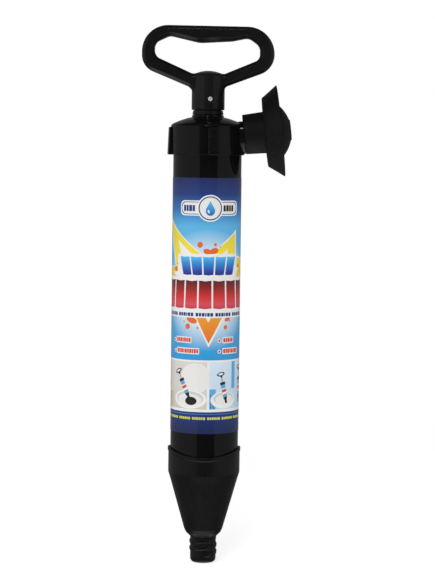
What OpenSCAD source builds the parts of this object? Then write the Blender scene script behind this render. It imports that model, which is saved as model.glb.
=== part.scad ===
// Hand-pump drain plunger: a barrel with a cap, a piston on a rod with a loop handle,
// a conical nozzle, and a rubber cup adapter that is stored on the side of the cap.
// Millimetres. The origin is the centre of the nozzle's open end, +Z runs up the barrel
// and +X points towards the stored adapter.

/* [Barrel] */
// Outside diameter of the barrel tube
barrel_od = 63; // [62:0.5:63.5]
// Wall of the barrel tube
barrel_wall = 2.5; // [2:0.25:3]
// Height of the tube's lower end above the nozzle's open end
barrel_z = 86.5; // [85.5:0.5:88.5]
// Length of the barrel tube
barrel_length = 316; // [300:1:340]
// Thickness of the printed wrap label
label_t = 0.25; // [0.1:0.05:0.4]
// Distance from the tube's lower end to the label
label_low = 37.8; // [34:0.2:60]
// Distance from the label to the tube's upper end
label_high = 43.8; // [30:0.2:60]

/* [Nozzle] */
// Radius of the nozzle's outlet
outlet_r = 8; // [6:0.25:9]
// Outside radius of the plain spigot
spigot_r = 12; // [11:0.1:12]
// Outside radius over the thread
thread_r = 12.75; // [12.2:0.05:12.8]
// Distance between two thread ridges
thread_pitch = 6; // [5:0.5:6]
// Outside radius of the collar that holds the barrel
collar_r = 33.3; // [32.6:0.1:34]
// Height of the collar's rim at its sides
rim_side_z = 108.5; // [106.5:0.5:112.5]
// Height of the collar's rim at the front and the back
rim_front_z = 102.5; // [100.5:0.5:105.5]

/* [Cap] */
// Outside radius of the cap's skirt
cap_r = 34; // [33.5:0.1:35]
// How far the skirt reaches down over the barrel
skirt_drop = 23.2; // [20:0.2:26]
// Radius of the domed shoulder
dome_r = 71.4; // [70:0.2:74]
// Radius of the neck that carries the gland nut
neck_r = 14.6; // [14:0.1:15]
// Width of the grip lugs
lug_w = 9; // [6:0.5:11]
// Angle by which the lugs are turned from the front
lug_turn = 8.6; // [0:0.2:12]

/* [Handle] */
// Outside radius of the hub
hub_r = 15.2; // [14.5:0.1:16]
// Height of the hub up to the edge of its domed top
hub_h = 33.5; // [32:0.5:36]
// Depth of the loop from front to back
loop_depth = 19.2; // [16:0.2:22]
// Width of the bevel along the loop's edges
loop_bevel = 2.6; // [1:0.1:3]

/* [Rod and piston] */
// Outside radius of the piston rod
rod_r = 6.5; // [6:0.1:6.5]
// Wall of the piston rod
rod_wall = 1.5; // [1:0.1:2]
// Radial clearance between the rod and its bush
running_gap = 0.05; // [0.02:0.01:0.1]
// Thickness of the piston's clamped discs
disc_t = 5; // [4:0.5:5]

/* [Adapter] */
// Upward tilt of the stored adapter
adapter_tilt = 6.4; // [4:0.2:8]
// Distance from the barrel's top down to the storage boss
boss_drop = 4; // [3:0.25:4.5]
// Radius of the adapter's rim
rim_r = 42.5; // [38:0.5:44]
// Radius of the adapter's round nose
nose_r = 22.4; // [20:0.2:24]
// Bore of the adapter's neck
socket_r = 12.85; // [12.82:0.01:13]

/* [Hidden] */
$fn = 96;

barrel_r = barrel_od / 2;
bore_r = barrel_r - barrel_wall;
barrel_top = barrel_z + barrel_length;
fit_gap = 0.05;
gasket_t = 2;
cut = 1;

// Nozzle
tip_r = 9.3;
tip_h = 4.2;
ridge_count = 3;
ridge_z = 9.4;
ridge_root_w = 3.2;
ridge_crest_w = 1.2;
shoulder_z = 24;
shoulder_curve = [[13.2, 25], [16.3, 28]];
cone_foot = [18, 31.6];
cone_head = [31.2, 78.3];
collar_z = 85.1;
nozzle_wall = 3.1;
lip_r = collar_r + 0.6;
lip_h = 2.5;
lip_rise = 1.5;
ledge_w = 3.5;
seat_z = barrel_z - gasket_t;
dip_r = (pow(lip_r, 2) + pow(rim_side_z - rim_front_z, 2)) / (2 * (rim_side_z - rim_front_z));

// Cap, measured up from the barrel's top
cap_z = barrel_top - skirt_drop;
cap_seat_z = barrel_top + gasket_t;
neck_foot_z = barrel_top + 11.5;
neck_top_z = barrel_top + 13.4;
dome_z = neck_foot_z - sqrt(pow(dome_r, 2) - pow(neck_r, 2));
dome_edge_r = cap_r - 1.2;
roof_t = 3.4;
bush_r = 9;
bush_z = barrel_top - 6.5;
bush_wall = 3;
counterbore_r = 11;
counterbore_z = barrel_top + 6;
lug_top_z = barrel_top + 2.2;
cap_side_z = barrel_top + 3.4;
lug_foot_out = 2.9;
lug_head_out = 1.9;
lug_chamfer = 1;
boss_z = barrel_top - boss_drop;
boss_r = 12.4;
boss_l = 14;
boss_root = 6;
boss_wall = 2.8;
boss_floor = 3;
boss_ridges = [5, 10];
boss_ridge_r = 0.6;
boss_ridge_out = 0.35;
pad_r = 17.8;
pad_gap = 0.2;

// Gland
gland_r = 14.2;
gland_gap = 0.3;
gland_top_z = neck_top_z + 4.2;
seal_z = counterbore_z + 2.6;
seal_h = 3.2;

// Handle
hub_z = gland_top_z + 0.4;
hub_bore_h = 28;
screw_z = hub_z + 10;
screw_turn = 8.3;
screw_r = 1.6;
screw_head_r = 2.2;
screw_far_y = hub_r - 2;

// Loop outline: corners as [x, height above the hub's foot, radius], anticlockwise
loop_outer = [
  [-13.5, 12, 0.5], [13.5, 12, 0.5], [15.6, 21.3, 4], [60.5, 38.2, 19],
  [60.5, 76.2, 25], [-61.2, 77.4, 24], [-61.2, 39, 16], [-15.2, 20.2, 9]
];
loop_inner = [
  [-15, 33.4, 3], [15, 33.2, 3], [47.2, 46.6, 7], [47.2, 58.6, 9], [36.8, 66.2, 9],
  [22, 63.1, 25], [-8, 61.3, 25], [-35.5, 67.6, 9], [-49.4, 61, 8], [-49.4, 48.8, 8]
];
// Half depth of each layer of the loop, with how far its edges are set in
loop_layers = [
  [loop_depth / 2 - 3.6, 0],
  [loop_depth / 2 - 1.6, loop_bevel * 0.42],
  [loop_depth / 2, loop_bevel]
];

// Piston stack, built up from the screw's head
screw_foot_z = barrel_z + 2;
screw_head_h = 4;
washer_z = screw_foot_z + screw_head_h;
washer_t = 1.5;
washer_r = 9;
screw_corner_r = 5.7;
head_z = washer_z + washer_t;
seal_t = 3;
seal_lip_h = 7.9;
lip_t = 2.6;
seal_slack = 0.1;
disc_r = bore_r - 3;
spacer_t = 4;
low_seal_z = head_z + disc_t;
spacer_z = low_seal_z + seal_t;
up_seal_z = spacer_z + spacer_t;
follower_z = up_seal_z + seal_t;
follower_hub_r = 10.5;
follower_hub_h = 10.5;
follower_hub_z = follower_z + disc_t + follower_hub_h;
bumper_h = 6;
bumper_r = 13;
rod_z = follower_z + disc_t;
rod_top_z = hub_z + hub_bore_h - 0.5;
insert_h = 20;
piston_screw_r = 3;
screw_end_z = rod_z + insert_h - 2;

// Adapter, measured along its own axis from the neck's open end
adapter_gap = -0.6;
neck_l = 18;
socket_l = 16;
neck_start_r = 18.2;
neck_end_r = 19.1;
brim_back_r = 31.7;
brim_back_l = 19.4;
brim_l = 34.1;
rim_t = 1.6;
skirt_t = 3;
nose_l = 44;
nose_wall = 3;
nose_sphere_r = 33.8;
adapter_outlet_r = 7;

black = [0.06, 0.06, 0.065];
soft_black = [0.1, 0.1, 0.11];

function unit(v) = v / norm(v);
function flat(corner) = [corner[0], corner[1]];
function left_normal(from, to) = let (e = unit(to - from)) [-e[1], e[0]];
function cross2(a, b) = a[0] * b[1] - a[1] * b[0];
function around(list, i) = list[(i + len(list)) % len(list)];
function angle_of(v) = atan2(v[1], v[0]);
function wrapped(a) = a > 180 ? a - 360 : (a < -180 ? a + 360 : a);

// Corners moved to the left of every edge by a distance, with their radii corrected
function inset(corners, by) = [
  for (i = [0 : len(corners) - 1])
    let (
      here = flat(corners[i]),
      n1 = left_normal(flat(around(corners, i - 1)), here),
      n2 = left_normal(here, flat(around(corners, i + 1))),
      moved = here + by * (n1 + n2) / (1 + n1 * n2)
    )
    [moved[0], moved[1], max(0.5, corners[i][2] - sign(cross2(n1, n2)) * by)]
];

// Points of one rounded corner
function corner_arc(before, corner, after, steps) =
  let (
    here = flat(corner),
    u = unit(flat(before) - here),
    v = unit(flat(after) - here),
    half = acos(u * v) / 2,
    centre = here + unit(u + v) * corner[2] / sin(half),
    start = here + u * corner[2] / tan(half) - centre,
    end = here + v * corner[2] / tan(half) - centre,
    sweep = wrapped(angle_of(end) - angle_of(start))
  )
  [for (k = [0 : steps])
    let (a = angle_of(start) + sweep * k / steps)
    centre + corner[2] * [cos(a), sin(a)]];

function rounded(corners, steps = 5) = [
  for (i = [0 : len(corners) - 1])
    each corner_arc(around(corners, i - 1), corners[i], around(corners, i + 1), steps)
];

// Points of a circular arc about a centre on the axis, from one radius to another
function dome_arc(centre_z, r, from_r, to_r, steps = 10) = [
  for (k = [0 : steps])
    let (x = from_r + (to_r - from_r) * k / steps)
    [x, centre_z + sqrt(r * r - x * x)]
];

module tube(outer, inner, h) {
  difference() {
    cylinder(r = outer, h = h);
    translate([0, 0, -cut]) cylinder(r = inner, h = h + 2 * cut);
  }
}

module barrel() {
  color(black) translate([0, 0, barrel_z]) tube(barrel_r, bore_r, barrel_length);
}

module label() {
  color([0.2, 0.5, 0.85])
    translate([0, 0, barrel_z + label_low])
      tube(barrel_r + label_t, barrel_r, barrel_length - label_low - label_high);
}

module thread_ridge() {
  root = ridge_root_w / 2;
  crest = ridge_crest_w / 2;
  sunk_r = spigot_r - 0.5;
  rotate_extrude()
    polygon([
      [sunk_r, -root], [spigot_r, -root], [thread_r, -crest],
      [thread_r, crest], [spigot_r, root], [sunk_r, root]
    ]);
}

module nozzle() {
  fit_r = barrel_r + fit_gap;
  tip = [for (a = [0 : 15 : 90]) [tip_r + (spigot_r - tip_r) * sin(a), tip_h * (1 - cos(a))]];
  shoulder = concat([[spigot_r, shoulder_z]], shoulder_curve, [cone_foot]);
  collar = [
    cone_head, [collar_r, collar_z], [collar_r, rim_side_z - lip_h - lip_rise],
    [lip_r, rim_side_z - lip_h], [lip_r, rim_side_z]
  ];
  inside = [
    [fit_r, rim_side_z], [fit_r, seat_z], [barrel_r - ledge_w, seat_z],
    [cone_head[0] - nozzle_wall, cone_head[1]], [cone_foot[0] - nozzle_wall, cone_foot[1]],
    [outlet_r, shoulder_z + 1], [outlet_r, 0]
  ];
  color(soft_black)
    difference() {
      union() {
        rotate_extrude() polygon(concat(tip, shoulder, collar, inside));
        for (i = [0 : ridge_count - 1])
          translate([0, 0, ridge_z + i * thread_pitch]) thread_ridge();
      }
      translate([0, 0, rim_front_z + dip_r])
        rotate([90, 0, 0])
          cylinder(r = dip_r, h = 3 * lip_r, center = true);
    }
}

module nozzle_gasket() {
  color("dimgray") translate([0, 0, seat_z]) tube(barrel_r, bore_r - 1, gasket_t);
}

module cap_gasket() {
  color("dimgray") translate([0, 0, barrel_top]) tube(barrel_r, bore_r, gasket_t);
}

module grip_lug() {
  root_r = cap_r - 2;
  rotate([90, 0, 0])
    linear_extrude(height = lug_w, center = true)
      polygon([
        [root_r, cap_z], [cap_r + lug_foot_out, cap_z],
        [cap_r + lug_head_out, lug_top_z - lug_chamfer],
        [cap_r + lug_head_out - lug_chamfer, lug_top_z], [root_r, lug_top_z]
      ]);
}

// Puts its children on the boss's tilted axis, with height 0 at the cap's wall
module on_boss_axis() {
  translate([cap_r, 0, boss_z]) rotate([0, 90 - adapter_tilt, 0]) children();
}

module storage_boss() {
  on_boss_axis() {
    translate([0, 0, -boss_root]) cylinder(r = boss_r, h = boss_l + boss_root);
    for (z = boss_ridges)
      translate([0, 0, z])
        rotate_extrude()
          translate([boss_r + boss_ridge_out - boss_ridge_r, 0]) circle(r = boss_ridge_r, $fn = 24);
  }
}

// Pad round the boss's foot, which fills the wedge below the stored adapter's neck
module boss_pad() {
  intersection() {
    on_boss_axis()
      translate([0, 0, -boss_root]) cylinder(r = pad_r, h = boss_root + adapter_gap - pad_gap);
    cylinder(r = 2 * cap_r, h = cap_side_z);
  }
}

module top_cap() {
  outer = concat(
    [[0, cap_z], [cap_r, cap_z], [cap_r, cap_side_z]],
    dome_arc(dome_z, dome_r, dome_edge_r, neck_r),
    [[neck_r, neck_top_z], [0, neck_top_z]]
  );
  // The hollow under the roof, around the housing of the rod's bush
  fit_r = barrel_r + fit_gap;
  hollow_r = bore_r - 0.4;
  hollow = concat(
    [
      [bush_r + bush_wall, bush_z - cut], [fit_r, bush_z - cut],
      [fit_r, cap_seat_z], [hollow_r, cap_seat_z]
    ],
    dome_arc(dome_z, dome_r - roof_t, hollow_r, bush_r + bush_wall)
  );
  color(black)
    difference() {
      union() {
        rotate_extrude() polygon(outer);
        for (side = [-2, -1, 1]) rotate([0, 0, 90 * side + lug_turn]) grip_lug();
        storage_boss();
        boss_pad();
      }
      rotate_extrude() polygon(hollow);
      translate([0, 0, cap_z - cut]) cylinder(r = fit_r, h = bush_z - cap_z + cut);
      cylinder(r = bush_r + fit_gap, h = neck_top_z + cut);
      translate([0, 0, counterbore_z]) cylinder(r = counterbore_r, h = neck_top_z);
      on_boss_axis() translate([0, 0, boss_floor]) cylinder(r = boss_r - boss_wall, h = boss_l);
    }
}

module rod_bush() {
  flange_h = seal_z - counterbore_z - 0.1;
  color("white")
    difference() {
      union() {
        translate([0, 0, bush_z]) cylinder(r = bush_r, h = counterbore_z - bush_z + cut);
        translate([0, 0, counterbore_z]) cylinder(r = counterbore_r - fit_gap, h = flange_h);
      }
      cylinder(r = rod_r + running_gap, h = neck_top_z);
    }
}

module rod_seal() {
  color("dimgray")
    translate([0, 0, seal_z]) tube(counterbore_r - fit_gap, rod_r + running_gap, seal_h);
}

module gland_nut() {
  spigot_z = seal_z + seal_h + 0.1;
  flange_z = neck_top_z + 0.2;
  foot_chamfer = 0.4;
  top_chamfer = 0.8;
  color(black)
    difference() {
      union() {
        translate([0, 0, spigot_z]) cylinder(r = counterbore_r - fit_gap, h = flange_z - spigot_z + cut);
        rotate_extrude()
          polygon([
            [0, flange_z], [gland_r - foot_chamfer, flange_z], [gland_r, flange_z + foot_chamfer],
            [gland_r, gland_top_z - top_chamfer], [gland_r - top_chamfer, gland_top_z],
            [0, gland_top_z]
          ]);
      }
      cylinder(r = rod_r + gland_gap, h = gland_top_z + cut);
    }
}

// A hole or a shank that crosses the hub and the rod
module across(r, from_y, to_y) {
  translate([0, 0, screw_z])
    rotate([0, 0, screw_turn])
      translate([0, from_y, 0])
        rotate([-90, 0, 0])
          cylinder(r = r, h = to_y - from_y, $fn = 48);
}

module piston_rod() {
  color("silver")
    difference() {
      translate([0, 0, rod_z]) tube(rod_r, rod_r - rod_wall, rod_top_z - rod_z);
      across(screw_r + fit_gap, -hub_r, hub_r);
    }
}

module rod_insert() {
  color("tan") translate([0, 0, rod_z]) tube(rod_r - rod_wall, piston_screw_r, insert_h);
}

module rod_bumper() {
  edge = 1.2;
  color("dimgray")
    translate([0, 0, follower_hub_z])
      difference() {
        rotate_extrude()
          polygon([
            [0, 0], [bumper_r - edge, 0], [bumper_r, edge], [bumper_r, bumper_h - edge],
            [bumper_r - edge, bumper_h], [0, bumper_h]
          ]);
        translate([0, 0, -cut]) cylinder(r = rod_r + fit_gap, h = bumper_h + 2 * cut);
      }
}

module piston_follower() {
  color("gray")
    difference() {
      union() {
        translate([0, 0, follower_z]) cylinder(r = disc_r, h = disc_t);
        translate([0, 0, follower_z]) cylinder(r = follower_hub_r, h = follower_hub_z - follower_z);
      }
      translate([0, 0, rod_z]) cylinder(r = rod_r + fit_gap, h = follower_hub_z);
      cylinder(r = piston_screw_r + fit_gap, h = follower_hub_z);
    }
}

module piston_spacer() {
  color("gray")
    translate([0, 0, spacer_z]) tube(disc_r, piston_screw_r + fit_gap, spacer_t);
}

module piston_head() {
  color("gray") translate([0, 0, head_z]) tube(disc_r, piston_screw_r + fit_gap, disc_t);
}

module piston_washer() {
  color("silver") translate([0, 0, washer_z]) tube(washer_r, piston_screw_r + fit_gap, washer_t);
}

module piston_screw() {
  color("silver") {
    translate([0, 0, screw_foot_z]) cylinder(r = screw_corner_r, h = screw_head_h, $fn = 6);
    translate([0, 0, washer_z]) cylinder(r = piston_screw_r, h = screw_end_z - washer_z);
  }
}

// A rubber cup with its lip on the side of negative heights
module cup_seal() {
  lip_outer_r = bore_r - running_gap;
  lip_edge = 0.8;
  hole_r = piston_screw_r + 0.3;
  base_t = seal_t - seal_slack;
  rotate_extrude()
    polygon([
      [hole_r, 0], [lip_outer_r, 0], [lip_outer_r, lip_edge - seal_lip_h],
      [lip_outer_r - lip_edge, -seal_lip_h], [lip_outer_r - 2 * lip_edge, -seal_lip_h],
      [lip_outer_r - lip_t, -base_t], [hole_r, -base_t]
    ]);
}

module lower_cup_seal() {
  color("black") translate([0, 0, spacer_z - seal_slack / 2]) cup_seal();
}

module upper_cup_seal() {
  color("black") translate([0, 0, up_seal_z + seal_slack / 2]) mirror([0, 0, 1]) cup_seal();
}

module loop_layer(half_depth, by) {
  translate([0, 0, hub_z])
    rotate([90, 0, 0])
      linear_extrude(height = 2 * half_depth, center = true)
        difference() {
          polygon(rounded(inset(loop_outer, by)));
          polygon(rounded(inset(loop_inner, -by)));
        }
}

module handle() {
  dome_h = 2.5;
  edge_r = 3;
  foot_chamfer = 0.7;
  head_recess = 2;
  edge_x = hub_r - edge_r;
  hub_dome_r = (edge_x * edge_x + dome_h * dome_h) / (2 * dome_h);
  hub_top_z = hub_z + hub_h;
  color(black)
    difference() {
      union() {
        for (layer = loop_layers) loop_layer(layer[0], layer[1]);
        rotate_extrude()
          polygon(concat(
            [[0, hub_z], [hub_r - foot_chamfer, hub_z], [hub_r, hub_z + foot_chamfer]],
            [[hub_r, hub_top_z - edge_r]],
            [for (a = [15 : 15 : 75]) [edge_x + edge_r * cos(a), hub_top_z - edge_r + edge_r * sin(a)]],
            dome_arc(hub_top_z + dome_h - hub_dome_r, hub_dome_r, edge_x, 0)
          ));
      }
      translate([0, 0, hub_z - cut]) cylinder(r = rod_r + fit_gap, h = hub_bore_h + cut);
      across(screw_r + fit_gap, -hub_r - cut, screw_far_y + 0.5);
      across(screw_head_r + 0.4, -hub_r - cut, -hub_r + head_recess);
    }
}

module handle_screw() {
  color("silver") {
    across(screw_head_r, -hub_r + 0.3, -hub_r + 2);
    across(screw_r, -hub_r + 1.5, screw_far_y);
  }
}

module adapter_cup() {
  nose_z = nose_l - nose_sphere_r;
  skirt_foot_r = brim_back_r - 1.2;
  inner_sphere_r = nose_sphere_r - nose_wall;
  inner_nose_r = nose_r - nose_wall;
  floor_l = brim_back_l + skirt_t;
  neck = [[socket_r, 0], [neck_start_r, 0], [neck_end_r, neck_l]];
  brim = [[brim_back_r, brim_back_l], [rim_r, brim_l], [rim_r - rim_t, brim_l]];
  bell = [[skirt_foot_r, floor_l], [nose_r, floor_l]];
  nose = dome_arc(nose_z, nose_sphere_r, nose_r, adapter_outlet_r);
  inside = dome_arc(nose_z, inner_sphere_r, adapter_outlet_r, inner_nose_r);
  throat = [[inner_nose_r, brim_back_l], [socket_r, socket_l]];
  color(soft_black)
    on_boss_axis()
      translate([0, 0, adapter_gap])
        rotate_extrude() polygon(concat(neck, brim, bell, nose, inside, throat));
}

barrel();
label();
top_cap();
cap_gasket();
gland_nut();
rod_bush();
rod_seal();
nozzle();
nozzle_gasket();
piston_rod();
rod_insert();
rod_bumper();
piston_follower();
piston_spacer();
piston_head();
piston_washer();
piston_screw();
upper_cup_seal();
lower_cup_seal();
handle();
handle_screw();
adapter_cup();
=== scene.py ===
"""The looks of a hand-pump drain plunger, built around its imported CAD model.

Shapes are worked out in millimetres, in the CAD frame, and scaled to metres when a mesh is made.
The origin is the nozzle's open end, +Z runs up the barrel, +X points to the stored adapter,
and -Y is the front.
"""

import math

import bmesh
import bpy
from mathutils import Matrix, Vector
from mathutils.geometry import delaunay_2d_cdt


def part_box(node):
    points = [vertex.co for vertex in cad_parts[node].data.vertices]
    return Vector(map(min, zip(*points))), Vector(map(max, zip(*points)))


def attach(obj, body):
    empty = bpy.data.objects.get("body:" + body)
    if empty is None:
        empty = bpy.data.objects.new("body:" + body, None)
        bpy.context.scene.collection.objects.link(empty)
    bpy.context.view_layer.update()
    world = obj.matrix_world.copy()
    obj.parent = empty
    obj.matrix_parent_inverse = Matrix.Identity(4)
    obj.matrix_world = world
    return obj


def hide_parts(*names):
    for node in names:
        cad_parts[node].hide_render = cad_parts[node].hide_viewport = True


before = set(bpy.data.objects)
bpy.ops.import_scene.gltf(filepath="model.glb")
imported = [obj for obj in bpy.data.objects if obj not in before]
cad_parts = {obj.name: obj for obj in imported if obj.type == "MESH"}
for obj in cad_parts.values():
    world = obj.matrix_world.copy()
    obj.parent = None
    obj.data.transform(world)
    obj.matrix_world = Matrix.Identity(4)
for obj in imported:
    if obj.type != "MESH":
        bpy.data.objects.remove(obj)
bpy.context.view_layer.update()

MM = 0.001
TURN = 2 * math.pi
SMOOTH_BELOW = math.radians(38)


def box_mm(node):
    low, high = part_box(node)
    return low / MM, high / MM


# ---------------------------------------------------------------- measures, in millimetres

BARREL_LOW, BARREL_HIGH = box_mm("barrel")
BARREL_R = BARREL_HIGH.x
BARREL_FOOT = BARREL_LOW.z
BARREL_TOP = BARREL_HIGH.z
BARREL_WALL = 2.5
BORE_R = BARREL_R - BARREL_WALL
FIT_GAP = 0.05
FIT_R = BARREL_R + FIT_GAP

LABEL_LOW = box_mm("label")[0].z
LABEL_HIGH = box_mm("label")[1].z
LABEL_R = box_mm("label")[1].x

CAP_FOOT = box_mm("top_cap")[0].z
CAP_R = 34.0
CAP_SIDE_TOP = BARREL_TOP + 3.4
CAP_SHOULDER = 1.4
DOME_R = 71.4
DOME_EDGE_R = 32.8
NECK_R = 14.6
NECK_TOP = BARREL_TOP + 13.4
DOME_Z = BARREL_TOP + 11.5 - math.sqrt(DOME_R**2 - NECK_R**2)
ROOF = 3.4
BUSH_R = 9.05
BUSH_Z = BARREL_TOP - 6.5
BUSH_HOUSING_R = 12.0
COUNTERBORE_R = 11.0
COUNTERBORE_Z = BARREL_TOP + 6
LUG_TURN = math.radians(8.6)
BOSS_Z = BARREL_TOP - 4
BOSS_R = 12.4
BOSS_BORE_R = 9.6
PAD_R = 17.8
ADAPTER_TILT = math.radians(6.4)
ADAPTER_GAP = -0.6

GLAND_LOW, GLAND_HIGH = box_mm("gland_nut")
GLAND_R = GLAND_HIGH.x
GLAND_TOP = GLAND_HIGH.z

HUB_Z = box_mm("handle")[0].z
HUB_R = 15.2
HUB_H = 33.5
HUB_DOME = 2.5
HUB_BORE_H = 28.0
ROD_R = 6.5
SCREW_Z = HUB_Z + 10
SCREW_TURN = math.radians(8.3)

# Corners of the handle's loop: across, height above the hub's foot, radius
LOOP_OUTER = [
    (-13.5, 12, 0.5), (13.5, 12, 0.5), (15.6, 21.3, 4), (60.5, 38.2, 19),
    (60.5, 76.2, 25), (-61.2, 77.4, 24), (-61.2, 39, 16), (-15.2, 20.2, 9),
]
LOOP_INNER = [
    (-15, 33.4, 3), (15, 33.2, 3), (47.2, 46.6, 7), (47.2, 58.6, 9), (36.8, 66.2, 9),
    (22, 63.1, 25), (-8, 61.3, 25), (-35.5, 67.6, 9), (-49.4, 61, 8), (-49.4, 48.8, 8),
]
LOOP_HALF_DEPTH = 9.6

SPIGOT_R = 12.0
THREAD_DEPTH = 0.8
OUTLET_R = 8.0
COLLAR_R = 33.3
LIP_R = 33.9
RIM_SIDE_Z = 108.5
RIM_FRONT_Z = 102.5


# ---------------------------------------------------------------- outlines and meshes


def arc(centre, radius, first, last, steps):
    """Points of a circular arc in a plane, between two angles in radians."""
    turns = [first + (last - first) * k / steps for k in range(steps + 1)]
    return [(centre[0] + radius * math.cos(a), centre[1] + radius * math.sin(a)) for a in turns]


def corner_arc(before, corner, after, radius, steps):
    """Points that round one corner of an outline."""
    before, corner, after = Vector(before), Vector(corner), Vector(after)
    u = (before - corner).normalized()
    v = (after - corner).normalized()
    half = u.angle(v) / 2
    if radius <= 0 or half > math.pi / 2 - 0.001:
        return [tuple(corner)]
    centre = corner + (u + v).normalized() * radius / math.sin(half)
    start = corner + u * radius / math.tan(half) - centre
    end = corner + v * radius / math.tan(half) - centre
    first = math.atan2(start.y, start.x)
    sweep = (math.atan2(end.y, end.x) - first + math.pi) % TURN - math.pi
    return arc(centre, radius, first, first + sweep, steps)


def rounded(corners, steps=6):
    """A closed outline from corners of (x, y, radius)."""
    points = []
    for i, (x, y, radius) in enumerate(corners):
        before = corners[i - 1][:2]
        after = corners[(i + 1) % len(corners)][:2]
        points += corner_arc(before, (x, y), after, radius, steps)
    return points


def plain(points):
    """Outline points as corners with no radius."""
    return [(x, y, 0) for x, y in points]


def resampled(points, spacing):
    """The closed outline with points added so that no edge is longer than the spacing."""
    dense = []
    for i, point in enumerate(points):
        a, b = Vector(point), Vector(points[(i + 1) % len(points)])
        parts = max(1, math.ceil((b - a).length / spacing))
        dense += [tuple(a.lerp(b, k / parts)) for k in range(parts)]
    return dense


def outward(points):
    """Unit vectors that point to the right of an outline at each of its points."""
    normals = []
    for i, point in enumerate(points):
        ahead = Vector(points[(i + 1) % len(points)]) - Vector(point)
        behind = Vector(point) - Vector(points[i - 1])
        along = (ahead.normalized() + behind.normalized()).normalized()
        normals.append(Vector((along.y, -along.x)))
    return normals


def smoothstep(low, high, value):
    t = min(1.0, max(0.0, (value - low) / (high - low)))
    return t * t * (3 - 2 * t)


def mesh_object(name, verts, faces, matrix=None):
    """A mesh in metres from vertices in millimetres, moved by a matrix in millimetres."""
    mesh = bpy.data.meshes.new(name)
    mesh.from_pydata([tuple(v) for v in verts], [], faces)
    mesh.transform(Matrix.Scale(MM, 4) @ (matrix or Matrix.Identity(4)))
    obj = bpy.data.objects.new(name, mesh)
    bpy.context.scene.collection.objects.link(obj)
    edit(obj, lambda bm: bmesh.ops.recalc_face_normals(bm, faces=bm.faces))
    return obj


def edit(obj, change):
    """Runs a change on an object's mesh through bmesh."""
    bm = bmesh.new()
    bm.from_mesh(obj.data)
    change(bm)
    bm.to_mesh(obj.data)
    bm.free()


def lathe(name, outline, segments=192, shape=None, matrix=None):
    """A closed outline of (radius, height) turned about Z. shape(angle, r, z) may move a point."""
    verts, rings = [], []
    for r, z in outline:
        if r < 0.001:
            rings.append([len(verts)] * segments)
            verts.append((0, 0, z))
            continue
        rings.append(list(range(len(verts), len(verts) + segments)))
        for k in range(segments):
            a = TURN * k / segments
            at_r, at_z = shape(a, r, z) if shape else (r, z)
            verts.append((at_r * math.cos(a), at_r * math.sin(a), at_z))
    faces = []
    for low, high in zip(rings, rings[1:] + rings[:1]):
        for k in range(segments):
            n = (k + 1) % segments
            corners = [low[k], low[n], high[n], high[k]]
            face = list(dict.fromkeys(corners))
            if len(face) > 2:
                faces.append(face)
    return mesh_object(name, verts, faces, matrix)


def combine(target, other, operation):
    """Joins another solid to the target, or cuts it away, and removes the other."""
    change = target.modifiers.new("combine", "BOOLEAN")
    change.operation = operation
    change.solver = "EXACT"
    change.object = other
    bpy.context.view_layer.update()
    made = target.evaluated_get(bpy.context.evaluated_depsgraph_get())
    mesh = bpy.data.meshes.new_from_object(made)
    target.modifiers.remove(change)
    target.data = mesh
    bpy.data.objects.remove(other)
    return target


def smooth(obj, below=SMOOTH_BELOW):
    """Smooth shading with sharp edges kept, and flats that stay flat."""
    obj.data.shade_smooth()
    obj.data.set_sharp_from_angle(angle=below)
    weighted = obj.modifiers.new("flats", "WEIGHTED_NORMAL")
    weighted.keep_sharp = True
    weighted.weight = 60
    return obj


def block(name, size, bevel, matrix, top=(1, 1)):
    """A box on z = 0 with rounded edges; top scales its upper face along x and y."""
    x, y, z = size[0] / 2, size[1] / 2, size[2]
    low = [(-x, -y, 0), (x, -y, 0), (x, y, 0), (-x, y, 0)]
    high = [(px * top[0], py * top[1], z) for px, py, _ in low]
    faces = [(3, 2, 1, 0), (4, 5, 6, 7)] + [(k, (k + 1) % 4, (k + 1) % 4 + 4, k + 4) for k in range(4)]
    obj = mesh_object(name, low + high, faces, matrix)
    edit(obj, lambda bm: bmesh.ops.bevel(
        bm, geom=bm.edges[:], offset=bevel * MM, segments=3, profile=0.5, affect="EDGES"))
    return obj


# ---------------------------------------------------------------- materials


def srgb(r, g, b):
    """A colour of 0 to 255 steps in linear light."""
    def linear(step):
        c = step / 255
        return c / 12.92 if c <= 0.04045 else ((c + 0.055) / 1.055) ** 2.4
    return (linear(r), linear(g), linear(b), 1.0)


def plug(tree, value, socket):
    """Links a socket to another, or sets it to a value."""
    if isinstance(value, bpy.types.NodeSocket):
        tree.links.new(value, socket)
    else:
        socket.default_value = value


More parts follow.
